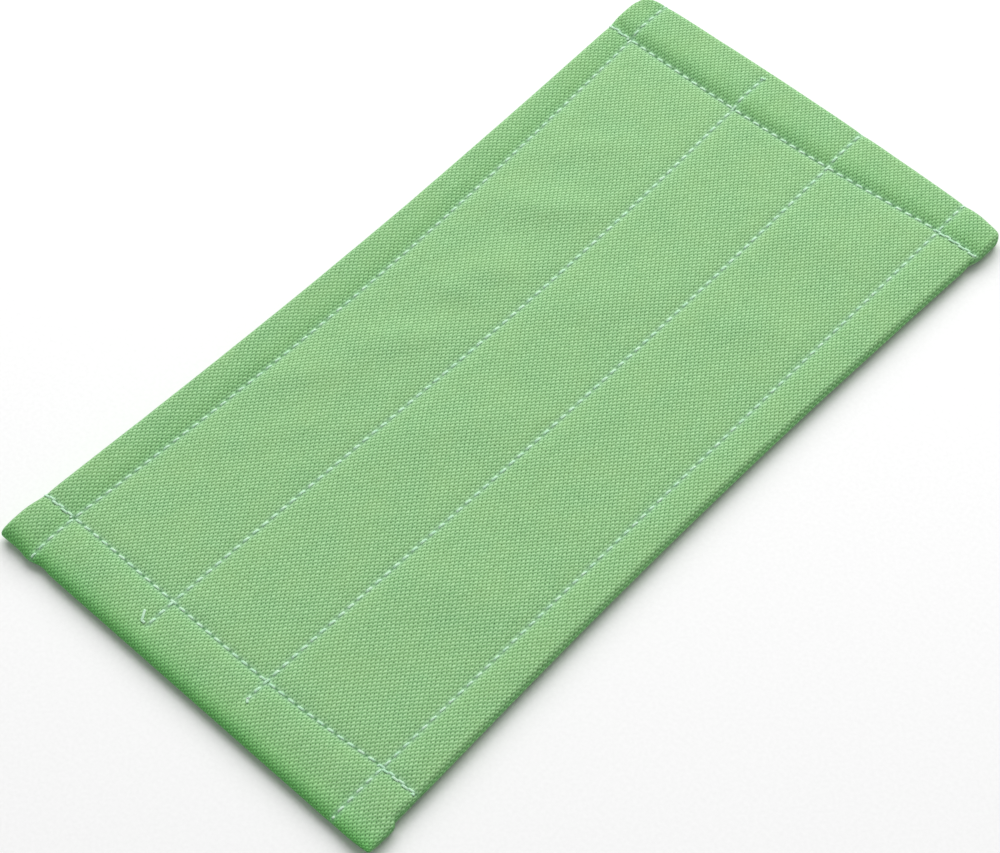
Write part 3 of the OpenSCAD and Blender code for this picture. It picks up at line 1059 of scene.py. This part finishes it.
def woven_material():
    """Coarse plain weave: long floats of the ends painted pale, a painted highlight on their crowns;
    mid-green picks; and gaps beside them painted dark, a painted shade.
    """
    s = Shader("green_plain_weave")
    place = s.node("ShaderNodeUVMap", uv_map="weave")
    wander = s.vector("SUBTRACT", s.noise(place, 0.8, 1.0, outlet="Color"), (0.5, 0.5, 0.5))
    place = s.vector("MULTIPLY_ADD", wander, (0.7, 0.7, 0), place)
    ends, picks = s.split(place)

    # The weave: floats painted pale as a painted highlight and gaps painted dark as painted shade, stronger
    # in some places than in others
    floats = checker_spots(s, ends, picks, (0, 0), (0.36, 0.68), 0.25)
    pick_floats = checker_spots(s, ends, picks, (1, 0), (0.5, 0.4))
    gaps = checker_spots(s, ends, picks, (-0.72, -0.24), (0.3, 0.3), -0.5)
    small_gaps = checker_spots(s, ends, picks, (-0.54, 0.46), (0.24, 0.3), -0.5)
    gaps = s.math("MULTIPLY_ADD", small_gaps, 0.6, gaps, clamp=True)
    uneven = s.noise(place, 1.3)
    tone = s.mix(pick_floats, colour(124, 180, 116), colour(138, 192, 130))
    pale = s.math("MULTIPLY", floats, s.remap(uneven, 0.3, 0.7, 0.7, 1.0))
    tone = s.mix(pale, tone, colour(196, 240, 186))
    dark = s.math("MULTIPLY", gaps, s.remap(uneven, 0.3, 0.7, 1.0, 0.6))
    tone = s.mix(dark, tone, colour(30, 82, 28))

    # Uneven dye: streaks along the threads, then broad and small patches
    streaks = s.noise(s.vector("MULTIPLY", place, (1.0, 0.07, 0)), 0.9)
    tone = s.tint(tone, streaks, 0.14, colour(120, 178, 112), high=0.75, blend="MULTIPLY")
    tone = s.tint(tone, s.noise(place, 0.06, 3.0), 0.12, colour(176, 204, 126))
    tone = s.tint(tone, s.noise(place, 0.45), 0.08, colour(130, 196, 140), low=0.35, high=0.75)
    # Painted shade: the cloth is multiplied deeper green near its edges and beside its hems
    turned = s.node("ShaderNodeAttribute", outlet="Fac", attribute_name="turned")
    tone = s.mix(turned, tone, colour(168, 240, 168), "MULTIPLY")

    # The rows of stitches: a trace of the thread's colour, and the needle holes, sunk in the bump and
    # painted darker as painted shade
    sunk = 0.0
    for map_name, hole_shade in (("long_rows", 0.35), ("cross_rows", 0.95)):
        hole, near_thread = needle_hole_spots(s, map_name)
        tone = s.mix(s.math("MULTIPLY", near_thread, 0.25), tone, colour(180, 224, 196))
        tone = s.mix(s.math("MULTIPLY", hole, hole_shade), tone, colour(74, 130, 78))
        sunk = s.math("ADD", hole, sunk)
    raised = s.math("MULTIPLY_ADD", pick_floats, 0.5, floats)
    height = s.math("SUBTRACT", raised, s.math("ADD", gaps, sunk))
    fibres = s.noise(place, 14.0, 1.0)
    height = s.math("MULTIPLY_ADD", fibres, 0.12, height)
    normal = s.bump(height, strength=0.7, distance=0.00016)
    return s.surface(tone, 0.75, normal, sheen=0.15, specular=0.25)


def pile_material():
    """Green microfibre yarn, each loop a little lighter or darker."""
    s = Shader("green_pile_yarn")
    tone = s.node("ShaderNodeAttribute", outlet="Fac", attribute_name="tone")
    place = s.node("ShaderNodeTexCoord", outlet="Object")
    fibres = s.noise(place, 5200.0)
    base = s.mix(tone, colour(104, 168, 102), colour(140, 198, 134))
    base = s.tint(base, fibres, 0.45, colour(178, 222, 168))
    normal = s.bump(fibres, strength=0.7, distance=0.00012)
    return s.surface(base, 0.9, normal, sheen=0.35, specular=0.15)


def backing_material():
    """Knitted ground of the mopping cloth."""
    s = Shader("green_knit_ground")
    place = s.node("ShaderNodeUVMap", uv_map="weave")
    ribs, courses = s.split(place)
    rib = s.math("COSINE", s.math("MULTIPLY", ribs, 2 * math.pi))
    stitch = s.math("COSINE", s.math("MULTIPLY", courses, 2 * math.pi))
    knit = s.math("MULTIPLY", s.math("ADD", rib, stitch), 0.25)
    fibres = s.noise(place, 6.0)
    tone = s.mix(s.remap(fibres, 0.3, 0.7), colour(88, 148, 88), colour(118, 178, 114))
    # Painted shade: the knit's hollows are painted darker
    tone = s.mix(s.remap(knit, -0.5, 0.5, 0.4, 0.0), tone, colour(60, 110, 62))
    normal = s.bump(knit, strength=0.6, distance=0.0002)
    return s.surface(tone, 0.92, normal, sheen=0.25, specular=0.15)


def felt_material():
    """Needled white polyester felt."""
    s = Shader("white_needled_felt")
    place = s.node("ShaderNodeTexCoord", outlet="Object")
    clumps = s.noise(place, 260.0, 3.0)
    fibres = s.noise(place, 2600.0, 4.0)
    tone = s.mix(s.remap(clumps, 0.3, 0.7), colour(226, 226, 218), colour(240, 240, 234))
    tone = s.tint(tone, fibres, 0.3, colour(206, 208, 198), low=0.35)
    normal = s.bump(fibres, strength=0.6, distance=0.0003)
    return s.surface(tone, 0.95, normal, sheen=0.3, specular=0.1)


def thread_material():
    """Pale polyester thread, a little glossy, with a trace of green and blue."""
    s = Shader("pale_polyester_thread")
    place = s.node("ShaderNodeTexCoord", outlet="Object")
    patches = s.noise(place, 420.0)
    fibres = s.noise(place, 6000.0)
    tone = s.mix(s.remap(patches, 0.3, 0.7), colour(172, 219, 182), colour(194, 230, 198))
    tone = s.tint(tone, fibres, 0.2, colour(148, 200, 160))
    normal = s.bump(fibres, strength=0.4, distance=0.00006)
    return s.surface(tone, 0.6, normal, sheen=0.1, specular=0.3, glow=0.7)


def floor_material():
    """Pale matt floor with a faint speckle."""
    s = Shader("pale_floor")
    place = s.node("ShaderNodeTexCoord", outlet="Object")
    speckle = s.noise(place, 900.0, 3.0)
    tone = s.mix(s.remap(speckle, 0.3, 0.7), colour(240, 240, 240), colour(244, 244, 244))
    return s.surface(tone, 0.8, s.bump(speckle, strength=0.05, distance=0.0002))


# ---- Studio ----

CAMERA_TARGET = (7.3, -14.9, 3.0)   # place that the camera looks at
CAMERA_FROM = (45.13, 54.74)        # azimuth and elevation that it looks from, in degrees
CAMERA_DISTANCE = 0.828             # in metres
CAMERA_ROLL = -3.36                 # in degrees
LENS, SENSOR = 106.3, 36.0          # focal length, and width of the sensor
ROOM_LIGHT = 0.35                   # strength of the light from all round
FLOOR_HALF = 3000.0                 # half the floor's width
FLOOR_LINES = 9                     # mesh lines across the floor


def direction(azimuth, elevation):
    """Unit vector from the pad: degrees from its near side round to the right, and degrees up."""
    a, e = math.radians(azimuth), math.radians(elevation)
    return Vector((math.sin(a) * math.cos(e), -math.cos(a) * math.cos(e), math.sin(e)))


def make_camera():
    """A long lens that looks down on the pad from beyond its near right corner."""
    back = direction(*CAMERA_FROM)
    data = bpy.data.cameras.new("camera")
    data.lens = LENS
    data.sensor_width = SENSOR
    camera = bpy.data.objects.new("camera", data)
    bpy.context.scene.collection.objects.link(camera)
    camera.location = Vector(CAMERA_TARGET) * MM + back * CAMERA_DISTANCE
    turn = (-back).to_track_quat("-Z", "Y").to_matrix().to_4x4()
    roll = Matrix.Rotation(math.radians(CAMERA_ROLL), 4, "Z")
    camera.rotation_euler = (turn @ roll).to_euler()
    bpy.context.scene.camera = camera


def make_light(name, azimuth, elevation, distance, size, power):
    """A square softbox aimed at the pad: degrees, metres and watts."""
    towards = direction(azimuth, elevation)
    data = bpy.data.lights.new(name, "AREA")
    data.size = size
    data.energy = power
    light = bpy.data.objects.new(name, data)
    bpy.context.scene.collection.objects.link(light)
    light.location = towards * distance
    light.rotation_euler = (-towards).to_track_quat("-Z", "Y").to_euler()


def make_room():
    """Soft white light from all round, and the colours shown as they are."""
    bpy.context.scene.view_settings.view_transform = "Standard"
    world = bpy.data.worlds.new("soft_room")
    world.use_nodes = True
    background = world.node_tree.nodes["Background"]
    background.inputs["Color"].default_value = (1, 1, 1, 1)
    background.inputs["Strength"].default_value = ROOM_LIGHT
    bpy.context.scene.world = world


def make_floor(material):
    steps = np.linspace(-FLOOR_HALF, FLOOR_HALF, FLOOR_LINES)
    x, y = np.meshgrid(steps, steps)
    points = np.stack([x.ravel(), y.ravel(), np.zeros(x.size)], axis=1)
    floor = make_mesh("floor", points, grid_faces(FLOOR_LINES, FLOOR_LINES))
    floor.data.materials.append(material)


make_camera()
make_room()
make_light("key", azimuth=215, elevation=48, distance=1.8, size=2.0, power=47)
make_floor(floor_material())
face = face_cloth_surface()
backing = backing_surface()
make_face_cloth(face, woven_material())
make_felt(felt_material())
make_mop_cloth(backing, backing_material(), pile_material())
sewn_points = np.concatenate([face.points, backing.points])
sewn_faces = np.concatenate([face.faces, backing.faces + len(face.points)])
make_threads(BVHTree.FromPolygons(sewn_points.tolist(), sewn_faces.tolist()), thread_material())
